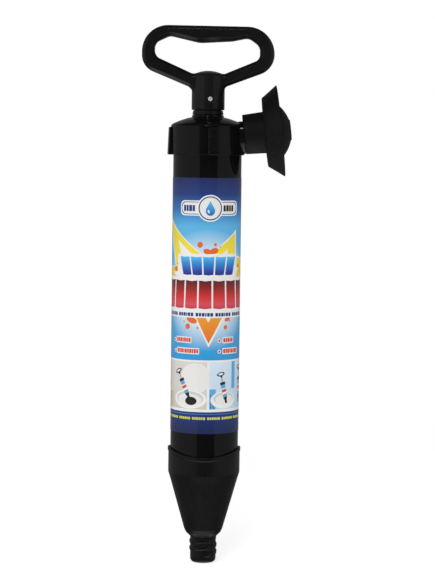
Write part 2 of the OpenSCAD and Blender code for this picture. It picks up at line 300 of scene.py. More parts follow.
class Shader:
    """A node material with one principled shader, and short calls for the nodes around it."""

    def __init__(self, name):
        self.material = bpy.data.materials.new(name)
        self.material.use_nodes = True
        self.tree = self.material.node_tree
        self.surface = self.tree.nodes["Principled BSDF"]
        self.place = self.tree.nodes.new("ShaderNodeTexCoord").outputs["Object"]

    def set(self, **values):
        for key, value in values.items():
            self.surface.inputs[key.replace("_", " ")].default_value = value

    def feed(self, source, socket):
        self.tree.links.new(source, socket)

    def node(self, kind, inputs=None, **settings):
        made = self.tree.nodes.new("ShaderNode" + kind)
        for key, value in settings.items():
            setattr(made, key, value)
        for key, value in (inputs or {}).items():
            plug(self.tree, value, made.inputs[key])
        return made

    def stretched(self, scale):
        return self.node("Mapping", {"Vector": self.place, "Scale": scale}).outputs["Vector"]

    def noise(self, size, detail=4.0, rough=0.55, stretch=(1, 1, 1)):
        """Noise whose features are about this many millimetres across."""
        inputs = {"Vector": self.stretched(stretch), "Scale": 1 / (size * MM),
                  "Detail": detail, "Roughness": rough}
        return self.node("TexNoise", inputs).outputs["Fac"]

    def remap(self, value, low, high, to_low, to_high):
        inputs = {"Value": value, "From Min": low, "From Max": high,
                  "To Min": to_low, "To Max": to_high}
        return self.node("MapRange", inputs).outputs["Result"]

    def maths(self, operation, *values):
        made = self.node("Math", operation=operation)
        for socket, value in zip(made.inputs, values):
            plug(self.tree, value, socket)
        return made.outputs[0]

    def mix(self, factor, a, b):
        made = self.node("Mix", data_type="RGBA")
        for key, value in (("Factor", factor), ("A", a), ("B", b)):
            plug(self.tree, value, [s for s in made.inputs if s.name == key and s.enabled][0])
        return [s for s in made.outputs if s.enabled][0]

    def ramp(self, value, stops):
        made = self.node("ValToRGB", {"Fac": value})
        elements = made.color_ramp.elements
        while len(elements) < len(stops):
            elements.new(0.5)
        for element, (at, color) in zip(elements, stops):
            element.position = at
            element.color = color
        return made.outputs["Color"]

    def edge_wear(self, low, high):
        """Nearly 1 on edges that stick out, broken up by noise, and 0 elsewhere."""
        point = self.node("NewGeometry").outputs["Pointiness"]
        edges = self.remap(point, low, high, 0, 1)
        return self.maths("MULTIPLY", edges, self.remap(self.noise(2.5), 0.42, 0.62, 0.2, 1))

    def bump(self, layers):
        """Stacks bumps given as (height, depth in millimetres)."""
        normal = None
        for height, depth in layers:
            inputs = {"Height": height, "Distance": depth * MM, "Strength": 1.0}
            if normal:
                inputs["Normal"] = normal
            normal = self.node("Bump", inputs).outputs["Normal"]
        self.feed(normal, self.surface.inputs["Normal"])

    def color(self, source):
        self.feed(source, self.surface.inputs["Base Color"])

    def rough(self, source):
        self.feed(source, self.surface.inputs["Roughness"])


def moulded(name, color, worn, rough, peel=0.004, grain=0.002, streak=(1, 1, 0.08), dust=0.35):
    """Injection-moulded or extruded plastic: faint flow streaks, orange peel, rubbed edges."""
    s = Shader(name)
    cloudy = s.remap(s.noise(28, 3), 0.35, 0.65, 0, 1)
    darker = tuple(c * 0.72 for c in color[:3]) + (1.0,)
    base = s.mix(cloudy, darker, color)
    wear = s.edge_wear(0.53, 0.62)
    specks = s.remap(s.noise(0.5, 2), 0.66, 0.74, 0, dust)
    s.color(s.mix(s.maths("MAXIMUM", wear, specks), base, worn))
    streaks = s.remap(s.noise(3.2, 5, 0.6, streak), 0.3, 0.7, rough * 0.82, rough * 1.18)
    s.rough(s.maths("ADD", streaks, s.maths("MULTIPLY", wear, 0.18)))
    layers = [(s.noise(3.0, 2, 0.4), peel * 4), (s.noise(0.35, 3), grain)]
    scratch = s.remap(s.noise(0.6, 1, 0.5, (1, 1, 0.03)), 0.70, 0.76, 0, -1)
    s.bump(layers + [(scratch, 0.003)])
    s.set(IOR=1.5)
    return s.material


def rubber(name, color, dusty, rough):
    """Moulded rubber: matt, finely speckled, with pale bloom where it is handled."""
    s = Shader(name)
    bloom = s.remap(s.noise(11, 5, 0.6), 0.45, 0.72, 0, 0.55)
    wear = s.edge_wear(0.52, 0.60)
    specks = s.remap(s.noise(0.45, 2), 0.64, 0.72, 0, 0.5)
    s.color(s.mix(s.maths("MAXIMUM", s.maths("MAXIMUM", bloom, wear), specks), color, dusty))
    s.rough(s.remap(s.noise(4, 4), 0.3, 0.7, rough * 0.88, rough * 1.1))
    s.bump([(s.noise(2.2, 3), 0.02), (s.noise(0.25, 3), 0.012)])
    s.set(IOR=1.42)
    return s.material


def metal(name, color, dull, rough, grain, metallic=1.0):
    """Drawn or machined metal whose grain is stretched along some axes."""
    s = Shader(name)
    tarnish = s.remap(s.noise(9, 4, 0.6), 0.4, 0.75, 0, 0.5)
    s.color(s.mix(tarnish, color, dull))
    lines = s.noise(0.5, 5, 0.7, grain)
    s.rough(s.remap(lines, 0.25, 0.75, rough * 0.7, rough * 1.35))
    s.bump([(lines, 0.006), (s.remap(s.noise(0.9, 1, 0.5, grain), 0.68, 0.75, 0, -1), 0.01)])
    s.set(Metallic=metallic)
    return s.material


BLACK = (0.0042, 0.0042, 0.0044, 1)
SOFT_BLACK = (0.0052, 0.0051, 0.0053, 1)
WORN_BLACK = (0.016, 0.016, 0.017, 1)
HANDLE_BLACK = (0.0080, 0.0080, 0.0082, 1)

glossy_black = moulded("barrel_plastic", BLACK, WORN_BLACK, 0.07, peel=0.0015, streak=(1, 1, 0.02))
cap_black = moulded("cap_plastic", BLACK, WORN_BLACK, 0.13, peel=0.003)
gland_black = moulded("gland_plastic", HANDLE_BLACK, WORN_BLACK, 0.28)
handle_black = moulded("handle_plastic", HANDLE_BLACK, WORN_BLACK, 0.20, 0.002, 0.0006, (0.1, 1, 1), 0.1)
nozzle_black = moulded("nozzle_plastic", SOFT_BLACK, WORN_BLACK, 0.32, peel=0.002, grain=0.0004)
adapter_black = rubber("adapter_rubber", (0.0040, 0.0040, 0.0042, 1), (0.0075, 0.0075, 0.0079, 1), 0.60)
seal_black = rubber("seal_rubber", (0.012, 0.012, 0.012, 1), (0.030, 0.030, 0.031, 1), 0.42)
gasket_gray = rubber("gasket_rubber", (0.035, 0.035, 0.037, 1), (0.070, 0.070, 0.072, 1), 0.5)
bumper_gray = rubber("bumper_rubber", (0.020, 0.020, 0.021, 1), (0.050, 0.050, 0.050, 1), 0.55)
piston_gray = moulded("piston_plastic", (0.23, 0.24, 0.25, 1), (0.38, 0.39, 0.40, 1), 0.34)
bush_white = moulded("bush_plastic", (0.72, 0.70, 0.64, 1), (0.84, 0.83, 0.79, 1), 0.32)
aluminium = metal("rod_aluminium", (0.80, 0.81, 0.82, 1), (0.60, 0.61, 0.62, 1), 0.22, (1, 1, 0.02))
brass = metal("insert_brass", (0.76, 0.55, 0.24, 1), (0.50, 0.34, 0.13, 1), 0.24, (0.1, 0.1, 1))
steel = metal("fastener_steel", (0.72, 0.72, 0.71, 1), (0.48, 0.47, 0.46, 1), 0.20, (0.1, 0.1, 1))
zinc = metal("screw_zinc", (0.82, 0.82, 0.81, 1), (0.6, 0.6, 0.59, 1), 0.3, (0.1, 0.1, 1), 0.35)

CARRIED_OVER = {
    "cap_gasket": gasket_gray,
    "nozzle_gasket": gasket_gray,
    "rod_bush": bush_white,
    "rod_seal": seal_black,
    "piston_rod": aluminium,
    "rod_insert": brass,
    "rod_bumper": bumper_gray,
    "piston_follower": piston_gray,
    "piston_spacer": piston_gray,
    "piston_head": piston_gray,
    "piston_washer": steel,
    "piston_screw": steel,
    "upper_cup_seal": seal_black,
    "lower_cup_seal": seal_black,
}
for node_name, finish in CARRIED_OVER.items():
    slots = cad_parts[node_name].material_slots
    for material_slot in slots:
        material_slot.material = finish


def place(piece, body, replaced, finish=None):
    """Gives a piece its finish and its place in the model."""
    if finish:
        piece.data.materials.clear()
        piece.data.materials.append(finish)
    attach(piece, body)
    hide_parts(replaced)


# ---------------------------------------------------------------- barrel

barrel = lathe("barrel_tube", rounded([
    (BORE_R, BARREL_FOOT, 0.3), (BARREL_R, BARREL_FOOT, 0.6),
    (BARREL_R, BARREL_TOP, 0.6), (BORE_R, BARREL_TOP, 0.3),
]), 256)
place(smooth(barrel), "barrel", "barrel", glossy_black)


# ---------------------------------------------------------------- cap

def dome_points(radius, from_r, to_r, steps=16):
    """Points of the cap's dome, from one radius to another."""
    radii = [from_r + (to_r - from_r) * k / steps for k in range(steps + 1)]
    return [(r, DOME_Z + math.sqrt(radius**2 - r**2), 0) for r in radii]


def cap_profile():
    """The cap's wall, its dome, the neck, and the hollow round the bush's housing."""
    roof = dome_points(DOME_R, DOME_EDGE_R, NECK_R + 1.2)
    hollow = dome_points(DOME_R - ROOF, BUSH_HOUSING_R, BORE_R - 0.4)
    return rounded([
        (FIT_R, CAP_FOOT, 0.4), (CAP_R, CAP_FOOT, 0.5), (CAP_R, CAP_SIDE_TOP, CAP_SHOULDER),
        *roof, (NECK_R, roof[-1][1] + 0.3, 1.0),
        (NECK_R, NECK_TOP, 0.5), (COUNTERBORE_R, NECK_TOP, 0.3),
        (COUNTERBORE_R, COUNTERBORE_Z, 0), (BUSH_R, COUNTERBORE_Z, 0),
        (BUSH_R, BUSH_Z, 0.2), (BUSH_HOUSING_R, BUSH_Z, 0.4),
        *hollow, (BORE_R - 0.4, BARREL_TOP + 2, 0), (FIT_R, BARREL_TOP + 2, 0),
    ])


def on_boss_axis(along=0.0):
    """The boss's tilted axis as +Z, with height 0 this far out from the cap's wall."""
    foot = Matrix.Translation((CAP_R, 0, BOSS_Z))
    return foot @ Matrix.Rotation(math.pi / 2 - ADAPTER_TILT, 4, "Y") @ Matrix.Translation((0, 0, along))


def grip_lug(turn):
    """One upright grip lug, deeper at its foot than at its top."""
    depth, width, height = 4.9, 9.0, 25.4
    matrix = Matrix.Rotation(turn, 4, "Z") @ Matrix.Translation((CAP_R - 2 + depth / 2, 0, CAP_FOOT))
    lean = Matrix(((1, 0, -0.5 / height, 0), (0, 1, 0, 0), (0, 0, 1, 0), (0, 0, 0, 1)))
    return block("lug", (depth, width, height), 0.9, matrix @ lean, top=(0.8, 0.97))


cap = lathe("cap_shell", cap_profile(), 256)
for side in (-2, -1, 1):
    combine(cap, grip_lug(side * math.pi / 2 + LUG_TURN), "UNION")
BOSS_ROOT = -6.0
BOSS_L = 14.0
BOSS_RIDGES = (5, 10)
RIDGE_R = 0.35
PAD_LIMIT = 60
boss = lathe("boss", rounded([
    (0, BOSS_ROOT, 0), (BOSS_R, BOSS_ROOT, 0),
    *(corner for z in BOSS_RIDGES
      for corner in plain(arc((BOSS_R, z), RIDGE_R, -math.pi / 2, math.pi / 2, 6))),
    (BOSS_R, BOSS_L, 0.8), (0, BOSS_L, 0),
]), 128, matrix=on_boss_axis())
combine(cap, boss, "UNION")
pad = lathe("boss_pad", rounded([
    (0, BOSS_ROOT, 0), (PAD_R, BOSS_ROOT, 0), (PAD_R, ADAPTER_GAP - 0.2, 0.2), (0, ADAPTER_GAP - 0.2, 0),
]), 128, matrix=on_boss_axis())
# The pad ends where the cap's shoulder begins
pad_foot = Matrix.Translation((CAP_R, 0, CAP_SIDE_TOP - CAP_SHOULDER - PAD_LIMIT))
combine(pad, block("pad_limit", (PAD_LIMIT,) * 3, 0.1, pad_foot), "INTERSECT")
combine(cap, pad, "UNION")
boss_hollow = lathe("boss_hollow", rounded([
    (0, 3, 0), (BOSS_BORE_R, 3, 0.6), (BOSS_BORE_R, BOSS_L + 2, 0), (0, BOSS_L + 2, 0),
]), 128, matrix=on_boss_axis())
combine(cap, boss_hollow, "DIFFERENCE")
bore = lathe("bore", [
    (0, CAP_FOOT - 1), (FIT_R, CAP_FOOT - 1), (FIT_R, BUSH_Z - 1), (0, BUSH_Z - 1),
], 256)
combine(cap, bore, "DIFFERENCE")
place(smooth(cap), "barrel", "top_cap", cap_black)


# ---------------------------------------------------------------- gland nut

GLAND_FLANGE = NECK_TOP + 0.2
gland = lathe("gland_ring", rounded([
    (ROD_R + 0.3, GLAND_LOW.z, 0.2), (COUNTERBORE_R - 0.05, GLAND_LOW.z, 0.2),
    (COUNTERBORE_R - 0.05, GLAND_FLANGE, 0), (GLAND_R, GLAND_FLANGE, 0.5),
    (GLAND_R, GLAND_TOP - 1.9, 0.2), (GLAND_R - 0.35, GLAND_TOP - 1.7, 0.2),
    (GLAND_R - 0.35, GLAND_TOP, 0.6), (12.6, GLAND_TOP, 0.1), (12.6, GLAND_TOP + 0.3, 0.1),
    (ROD_R + 0.3, GLAND_TOP + 0.3, 0.2),
]), 192)
place(smooth(gland), "barrel", "gland_nut", gland_black)


# ---------------------------------------------------------------- nozzle

THREAD_START = math.radians(250)
THREAD_START_Z = 7.5
THREAD_PITCH = 6.5
THREAD_TURNS = 2.35
THREAD_FADE = 0.16
TIP_R = 9.3
TIP_ROUND = 4.2
SPIGOT_TOP = 25
CONE_FOOT_Z = 31.6
CONE_HEAD_Z = 78.3
COLLAR_Z = 85.1
# The rim's dip fades out this far below the rim
RIM_BEND = 14


def thread(angle, z):
    """Height of the right-handed thread over the spigot's wall, in millimetres."""
    first = (angle - THREAD_START) % TURN / TURN
    near = round((z - THREAD_START_Z) / THREAD_PITCH - first)
    turns = min(max(first + near, first), THREAD_TURNS)
    off = abs(z - THREAD_START_Z - THREAD_PITCH * (first + near))
    if first + near < 0 or first + near > THREAD_TURNS:
        return 0.0
    fade = smoothstep(0, THREAD_FADE, turns) * smoothstep(0, THREAD_FADE, THREAD_TURNS - turns)
    return THREAD_DEPTH * fade * (1 - smoothstep(1.1, 2.5, off))


def rim_height(x):
    """Height of the collar's rim, which dips towards the front and the back."""
    dip = (LIP_R**2 + (RIM_SIDE_Z - RIM_FRONT_Z) ** 2) / (2 * (RIM_SIDE_Z - RIM_FRONT_Z))
    return RIM_FRONT_Z + dip - math.sqrt(dip**2 - x**2)


def nozzle_shape(angle, r, z):
    """Adds the thread low down and the rim's dip high up."""
    if r > SPIGOT_R - 0.01 and 3 < z < SPIGOT_TOP:
        r += thread(angle, z)
    if z > RIM_SIDE_Z - RIM_BEND:
        drop = RIM_SIDE_Z - rim_height(min(r, LIP_R) * math.cos(angle))
        z -= drop * smoothstep(RIM_SIDE_Z - RIM_BEND, RIM_SIDE_Z - 3, z)
    return r, z


def nozzle_profile():
    tip = [(TIP_R + (SPIGOT_R - TIP_R) * math.sin(a), TIP_ROUND * (1 - math.cos(a)), 0)
           for a in (math.pi / 2 * k / 10 for k in range(11))]
    spigot = [(SPIGOT_R, TIP_ROUND + 0.3 * k, 0) for k in range(1, 66)]
    return rounded([
        (OUTLET_R, 0, 0.4), *tip, *spigot,
        (13.2, SPIGOT_TOP, 0.8), (16.3, 28, 1.5), (18, CONE_FOOT_Z, 3.0), (31.2, CONE_HEAD_Z, 4.0),
        (COLLAR_R, COLLAR_Z, 4.0), (COLLAR_R, RIM_SIDE_Z - RIM_BEND, 0), (COLLAR_R, RIM_SIDE_Z - 9, 0),
        (COLLAR_R, RIM_SIDE_Z - 4.2, 0.8), (LIP_R, RIM_SIDE_Z - 2.8, 0.8),
        (LIP_R, RIM_SIDE_Z, 0.7), (FIT_R, RIM_SIDE_Z, 0.3),
        (FIT_R, RIM_SIDE_Z - 9, 0), (FIT_R, RIM_SIDE_Z - RIM_BEND, 0),
        (FIT_R, BARREL_FOOT - 2, 0), (28, BARREL_FOOT - 2, 0),
        (28.1, CONE_HEAD_Z, 1), (14.9, CONE_FOOT_Z, 1), (OUTLET_R, SPIGOT_TOP, 1),
    ])


nozzle = lathe("nozzle_cone", nozzle_profile(), 288, nozzle_shape)
place(smooth(nozzle), "barrel", "nozzle", nozzle_black)


# ---------------------------------------------------------------- handle

# Steps over the loop's section: distance from its middle plane, how far its edges are set in
LOOP_SECTION = [
    (0.0, -0.12), (0.35, -0.08), (0.6, 0.0), (3.4, 0.0), (5.6, 0.03), (6.3, 0.14), (6.9, 0.45),
    (7.4, 0.92), (8.7, 2.12), (9.1, 2.45), (9.42, 2.75), (9.56, 3.05), (9.6, 3.4),
]


def crease(point):
    """How much wider the bevel under the grip is at a point of the inner outline."""
    x, z = point
    if z < 60:
        return 1.0
    return 1.0 + 0.22 * smoothstep(20, 0, abs(x + 22)) + 0.5 * smoothstep(16, 0, abs(x - 4))


def loop_outlines():
    outer = [(x, HUB_Z + z) for x, z in resampled(rounded(LOOP_OUTER, 12), 3.0)]
    inner = [(x, HUB_Z + z) for x, z in resampled(rounded(LOOP_INNER, 12), 3.0)]
    return outer, inner


def loop_ring(points, away, inset, width):
    """An outline moved away from its own side by an inset, times the width at each point."""
    moved = []
    for point, normal in zip(points, outward(points)):
        moved.append(Vector(point) + normal * away * inset * width(point))
    return moved


def handle_loop():
    """The loop, lofted from its middle plane to its flat front and back."""
    outer, inner = loop_outlines()
    sections = [(-y, by) for y, by in reversed(LOOP_SECTION)] + LOOP_SECTION[1:]
    verts, faces = [], []
    for points, away, width in (
        (outer, -1, lambda p: 1.0),
        (inner, 1, lambda p: crease((p[0], p[1] - HUB_Z))),
    ):
        count = len(points)
        rings = []
        for y, by in sections:
            rings.append(len(verts))
            verts += [(p.x, y, p.y) for p in loop_ring(points, away, by, width)]
        for low, high in zip(rings, rings[1:]):
            faces += [(low + k, low + (k + 1) % count, high + (k + 1) % count, high + k)
                      for k in range(count)]
    obj = mesh_object("handle_body", verts, faces)

    def close(bm):
        for y in (-LOOP_HALF_DEPTH, LOOP_HALF_DEPTH):
            edges = [e for e in bm.edges if e.is_boundary
                     and all(abs(v.co.y - y * MM) < 0.01 * MM for v in e.verts)]
            bmesh.ops.triangle_fill(bm, edges=edges, use_beauty=True, use_dissolve=False)
        bmesh.ops.recalc_face_normals(bm, faces=bm.faces)

    edit(obj, close)
    return obj


MOULD_LINE = math.radians(-93)
EDGE_R = 3.0


def hub_shape(angle, r, z):
    """A fine raised mould line down the hub's front, from its top to the screw."""
    off = abs((angle - MOULD_LINE + math.pi) % TURN - math.pi) * HUB_R
    if off < 0.6 and r > HUB_R - 1 and SCREW_Z + 4 < z:
        r += 0.16 * (1 - off / 0.6)
    return r, z


def hub():
    edge_x = HUB_R - EDGE_R
    dome_r = (edge_x**2 + HUB_DOME**2) / (2 * HUB_DOME)
    top = HUB_Z + HUB_H
    dome = []
    for k in range(1, 11):
        r = edge_x * (1 - k / 10)
        dome.append((r, top + HUB_DOME - dome_r + math.sqrt(dome_r**2 - r**2)))
    side = [(HUB_R, HUB_Z + 2 + 2 * k) for k in range(14)]
    edge = arc((edge_x, top - EDGE_R), EDGE_R, 0, math.pi / 2 - 0.2, 8)
    foot = [(0, HUB_Z), (HUB_R - 0.7, HUB_Z), (HUB_R - 0.2, HUB_Z + 0.2), (HUB_R, HUB_Z + 0.7)]
    return lathe("hub", foot + side + edge + dome, 360, hub_shape)


def on_screw_axis(depth):
    """The cross-screw's axis as +Z pointing into the hub, with height 0 at a depth from the front."""
    turn = Matrix.Rotation(SCREW_TURN, 4, "Z")
    lay = Matrix.Rotation(-math.pi / 2, 4, "X")
    return Matrix.Translation((0, 0, SCREW_Z)) @ turn @ Matrix.Translation((0, depth - HUB_R, 0)) @ lay


handle = handle_loop()
combine(handle, hub(), "UNION")
combine(handle, lathe("rod_bore", rounded([
    (0, HUB_Z - 1, 0), (ROD_R + 0.05, HUB_Z - 1, 0),
    (ROD_R + 0.05, HUB_Z + HUB_BORE_H, 0.5), (0, HUB_Z + HUB_BORE_H, 0),
]), 96), "DIFFERENCE")
combine(handle, lathe("screw_recess", rounded([
    (0, -1, 0), (3.1, -1, 0), (2.6, 0.35, 0), (2.6, 2, 0), (1.65, 2, 0), (1.65, 28.9, 0), (0, 28.9, 0),
]), 64, matrix=on_screw_axis(0)), "DIFFERENCE")
place(smooth(handle), "plunger", "handle", handle_black)

screw = lathe("cross_screw_body", rounded([
    (0, 0.35, 0), (1.2, 0.42, 0.6), (2.2, 0.9, 0.5), (2.2, 2, 0.1),
    (1.6, 2, 0), (1.6, 27.2, 0.3), (0, 27.2, 0),
]), 64, matrix=on_screw_axis(0))
for quarter in (0, math.pi / 2):
    slot_place = on_screw_axis(0) @ Matrix.Rotation(quarter + 0.4, 4, "Z")
    combine(screw, block("slot", (2.6, 0.5, 1.2), 0.08, slot_place), "DIFFERENCE")
place(smooth(screw), "plunger", "handle_screw", zinc)


# ---------------------------------------------------------------- adapter

SOCKET_R = 12.85
NOSE_TOP = 44
NOSE_R = 33.8
NOSE_INNER_R = 30.8


def nose_points(radius, from_r, to_r, steps=14):
    """Points of the adapter's round nose, from one radius to another."""
    centre = NOSE_TOP - NOSE_R
    radii = [from_r + (to_r - from_r) * k / steps for k in range(steps + 1)]
    return [(r, centre + math.sqrt(radius**2 - r**2), 0) for r in radii]


def adapter_profile():
    """Neck, flared brim, round nose with a low lip at its outlet, and the hollow inside."""
    nose = nose_points(NOSE_R, 22.4, 9.6)
    inside = nose_points(NOSE_INNER_R, 7.4, 19.4)
    return rounded([
        (SOCKET_R, 0, 0.4), (18.2, 0, 0.7), (19.1, 18.6, 0), (19.6, 19.4, 0.6),
        (31.7, 19.4, 0.9), (36.6, 26.3, 9), (42.5, 34.1, 0.5), (40.9, 34.1, 0.5),
        (35.2, 27.6, 8), (30.5, 22.6, 1.2), (23.0, 22.4, 1.0), (22.4, 25.0, 0), *nose,
        (9.4, nose[-1][1] + 0.75, 0.3), (7, nose[-1][1] + 0.75, 0.3),
        (7, inside[0][1], 0.3), *inside, (19.4, 19.4, 1.0), (SOCKET_R, 16, 0.6),
    ])


adapter = lathe("adapter_bell", adapter_profile(), 256, matrix=on_boss_axis(ADAPTER_GAP))
place(smooth(adapter), "adapter", "adapter_cup", adapter_black)


# ---------------------------------------------------------------- label

# The label's art is laid out flat: s runs round the barrel to the right from the front line,
# z is the height with ART_LOW at the label's lower edge, both in millimetres.
# It holds generic shapes only.
HALF_WRAP = math.pi * LABEL_R
OVERLAP = 4.0
OVERLAP_RISE = 0.22
FILM_T = 0.2
ART_MIDDLE = (2.0, 262.0)
COLUMN = math.radians(3)
ART_LOW = 121.8
ART_LIFT = LABEL_LOW - ART_LOW
ART_HIGH = LABEL_HIGH - ART_LIFT


def rect(s0, z0, s1, z1):
    return [(s0, z0), (s1, z0), (s1, z1), (s0, z1)]


def pill(s0, z0, s1, z1, radius):
    return rounded([(s, z, radius) for s, z in rect(s0, z0, s1, z1)], 4)


def ellipse(s, z, half_s, half_z, turn=0.0, steps=28):
    points = []
    for k in range(steps):
        x = half_s * math.cos(TURN * k / steps)
        y = half_z * math.sin(TURN * k / steps)
        points.append((s + x * math.cos(turn) - y * math.sin(turn),
                       z + x * math.sin(turn) + y * math.cos(turn)))
    return points


def drop(s, z, half):
    """A water drop with its point upwards."""
    body = arc((s, z), half, math.radians(-215), math.radians(35), 16)
    return body + [(s, z + 2.1 * half)]


def placed(points, s, z, turn):
    """Points moved to (s, z) and turned."""
    c, d = math.cos(turn), math.sin(turn)
    return [(s + x * c - y * d, z + x * d + y * c) for x, y in points]


def burst(scale):
    """The spiked burst behind the middle of the art."""
    spikes = [
        (-48, 57), (-2, 21), (28.5, 44.5), (29, 22), (54, 17), (36, 1), (50, -24), (21, -20),
        (1, -57), (-15, -24), (-52, -32), (-38, -4), (-62, 12), (-34, 12),
    ]
    return [(ART_MIDDLE[0] + s * scale, ART_MIDDLE[1] + z * scale) for s, z in spikes]


def tile_row(ink, low, high, lower, upper, count, gap, notch):
    """A row of bold tiles between two edges that may differ in width, pointed downwards."""
    row = []
    for k in range(count):
        left, right = k / count, (k + 1) / count
        shape = [(left, high), ((left + right) / 2, high - notch), (right, high),
                 (right, low + notch), ((left + right) / 2, low), (left, low + notch)]
        points = []
        for u, z in shape:
            rise = (z - low) / (high - low)
            s0 = lower[0] + (upper[0] - lower[0]) * rise
            s1 = lower[1] + (upper[1] - lower[1]) * rise
            inward = gap / 2 if u == left else (-gap / 2 if u == right else 0)
            points.append((s0 + (s1 - s0) * u + inward, z))
        row.append((ink, points))
    return row


def dashes(ink, s0, s1, z0, z1, widths, gap=0.5, outline=None, grow=0.6):
    """A line of short blocks in the given repeating widths, like a line of print seen from afar."""
    marks, rim = [], []
    s, k = s0, 0
    while s + widths[k % len(widths)] <= s1:
        wide = widths[k % len(widths)]
        if wide > 0:
            marks.append((ink, pill(s, z0, s + wide, z1, min(0.5, wide / 3))))
            if outline:
                rim.append((outline, rect(s - grow, z0 - grow, s + wide + grow, z1 + grow)))
            s += wide + gap
        else:
            s -= wide
        k += 1
    return rim + marks


def small_pump(s, z, size, turn):
    """A little picture of a hand pump whose cup is at (s, z)."""
    parts = [
        ("black", rect(-0.9, -0.6, 0.9, 2.6)),
        ("black", [(-0.9, 2.4), (0.9, 2.4), (1.7, 5.2), (-1.7, 5.2)]),
        ("sky_print", rect(-1.7, 5.2, 1.7, 17)), ("white", rect(-1.7, 8, 1.7, 10)),
        ("red", rect(-1.7, 10, 1.7, 12.6)), ("white", rect(-1.7, 12.6, 1.7, 13.6)),
        ("black", rect(-2.0, 17, 2.0, 19.4)), ("gray", rect(-0.45, 19.4, 0.45, 24.5)),
        ("black", rect(-0.8, 24, 0.8, 25.4)), ("black", ellipse(0, 27, 3.0, 1.9)),
        ("paper", ellipse(0, 27.1, 2.0, 1.0)),
    ]
    wide = 1.35 * size
    return [(ink, placed([(x * wide, y * size) for x, y in points], s, z, turn))
            for ink, points in parts]


def bands():
    """Rings that run all the way round."""
    all_round = (-HALF_WRAP - OVERLAP, HALF_WRAP + OVERLAP)

    def ring(z0, z1):
        return rect(all_round[0], z0, all_round[1], z1)

    return [
        ("white", ring(142.0, 189.7)), ("navy", ring(ART_LOW - 1, 142.0)),
        ("line_blue", ring(139.6, 140.3)),
    ]


def plaque():
    """The plain plaque near the label's top."""
    shapes = []
    for ink, grow in (("white", 1.4), ("navy", 0.35), ("paper", -0.35)):
        shapes.append((ink, pill(-25 - grow, 323.2 - grow, 32 + grow, 334.2 + grow, 4.5)))
    for ink, radius in (("white", 12.2), ("navy", 11.0), ("paper", 9.9)):
        shapes.append((ink, ellipse(3.5, 328.6, radius, radius, steps=40)))
    shapes += [
        *dashes("navy", -22.5, -8.5, 325.8, 331.4, (2.6, 2.2, 3.0, 2.4), 0.5),
        *dashes("black", 16.0, 29.5, 325.8, 331.4, (2.4, 2.8, 2.2, 2.6), 0.5),
        ("drop_blue", drop(3.5, 326.2, 4.4)), ("paper", ellipse(1.9, 325.6, 0.9, 1.7, 0.3)),
    ]
    return shapes


def middle_art():
    shapes = [("white", burst(1.06)), ("burst", burst(1.0)), ("white", burst(0.66))]
    for s, z, r in ((-5.6, 295.4, 2.6), (8.4, 295.6, 1.4), (13.2, 293.4, 0.6), (-33, 272.5, 2.4),
                    (-30.5, 277.5, 0.8), (-17, 220.5, 2.5), (-7.2, 219.4, 1.0), (19.6, 219.8, 2.0),
                    (24.5, 225.5, 0.8), (-21, 224.6, 0.8), (37, 276, 1.7)):
        shapes.append(("orange", ellipse(s, z, r, r * 1.05, steps=20)))
    shapes += [
        ("orange", ellipse(1.4, 289.0, 4.2, 2.6, -0.35)), ("orange", ellipse(7.6, 289.9, 4.0, 2.6, 0.3)),
        ("orange", ellipse(3.6, 287.4, 3.4, 2.0)), ("orange", ellipse(-13, 226.5, 5.4, 2.9, -0.35)),
        ("orange", ellipse(22, 227.6, 3.6, 2.2, 0.5)),
        ("white", pill(-30, 264, 34, 287, 3)), ("white", pill(-51, 234, 50, 265.6, 3)),
        ("white", rect(-52, 228.6, 52, 236)),
    ]
    shapes += tile_row("blue_tile", 267.5, 284.6, (-23, 28), (-27, 32), 5, 1.3, 0.5)
    shapes += tile_row("red_tile", 236.6, 262.8, (-48, 47), (-46, 45), 7, 1.5, 0.7)
    shapes += dashes("navy", -46, 47, 229.9, 233.2, (2.6, 2.2, 2.6, 1.4, 2.4, 2.6, -1.6))
    return shapes


def notes():
    """Bullets and lines under the burst."""
    shapes = []
    for dot_s, s0, s1, z in ((-33, -30, -13, 206), (-32, -29, -4, 196), (13.5, 17.5, 30, 206),
                             (13.5, 17.5, 38, 196)):
        shapes.append(("white", ellipse(dot_s, z + 1.6, 1.8, 1.8, steps=16)))
        shapes.append(("red", ellipse(dot_s, z + 1.6, 1.1, 1.1, steps=16)))
        shapes += dashes("red", s0, s1, z, z + 4, (2.2, 1.8, 2.4, 1.4), 0.35, "white", 0.8)
    return shapes


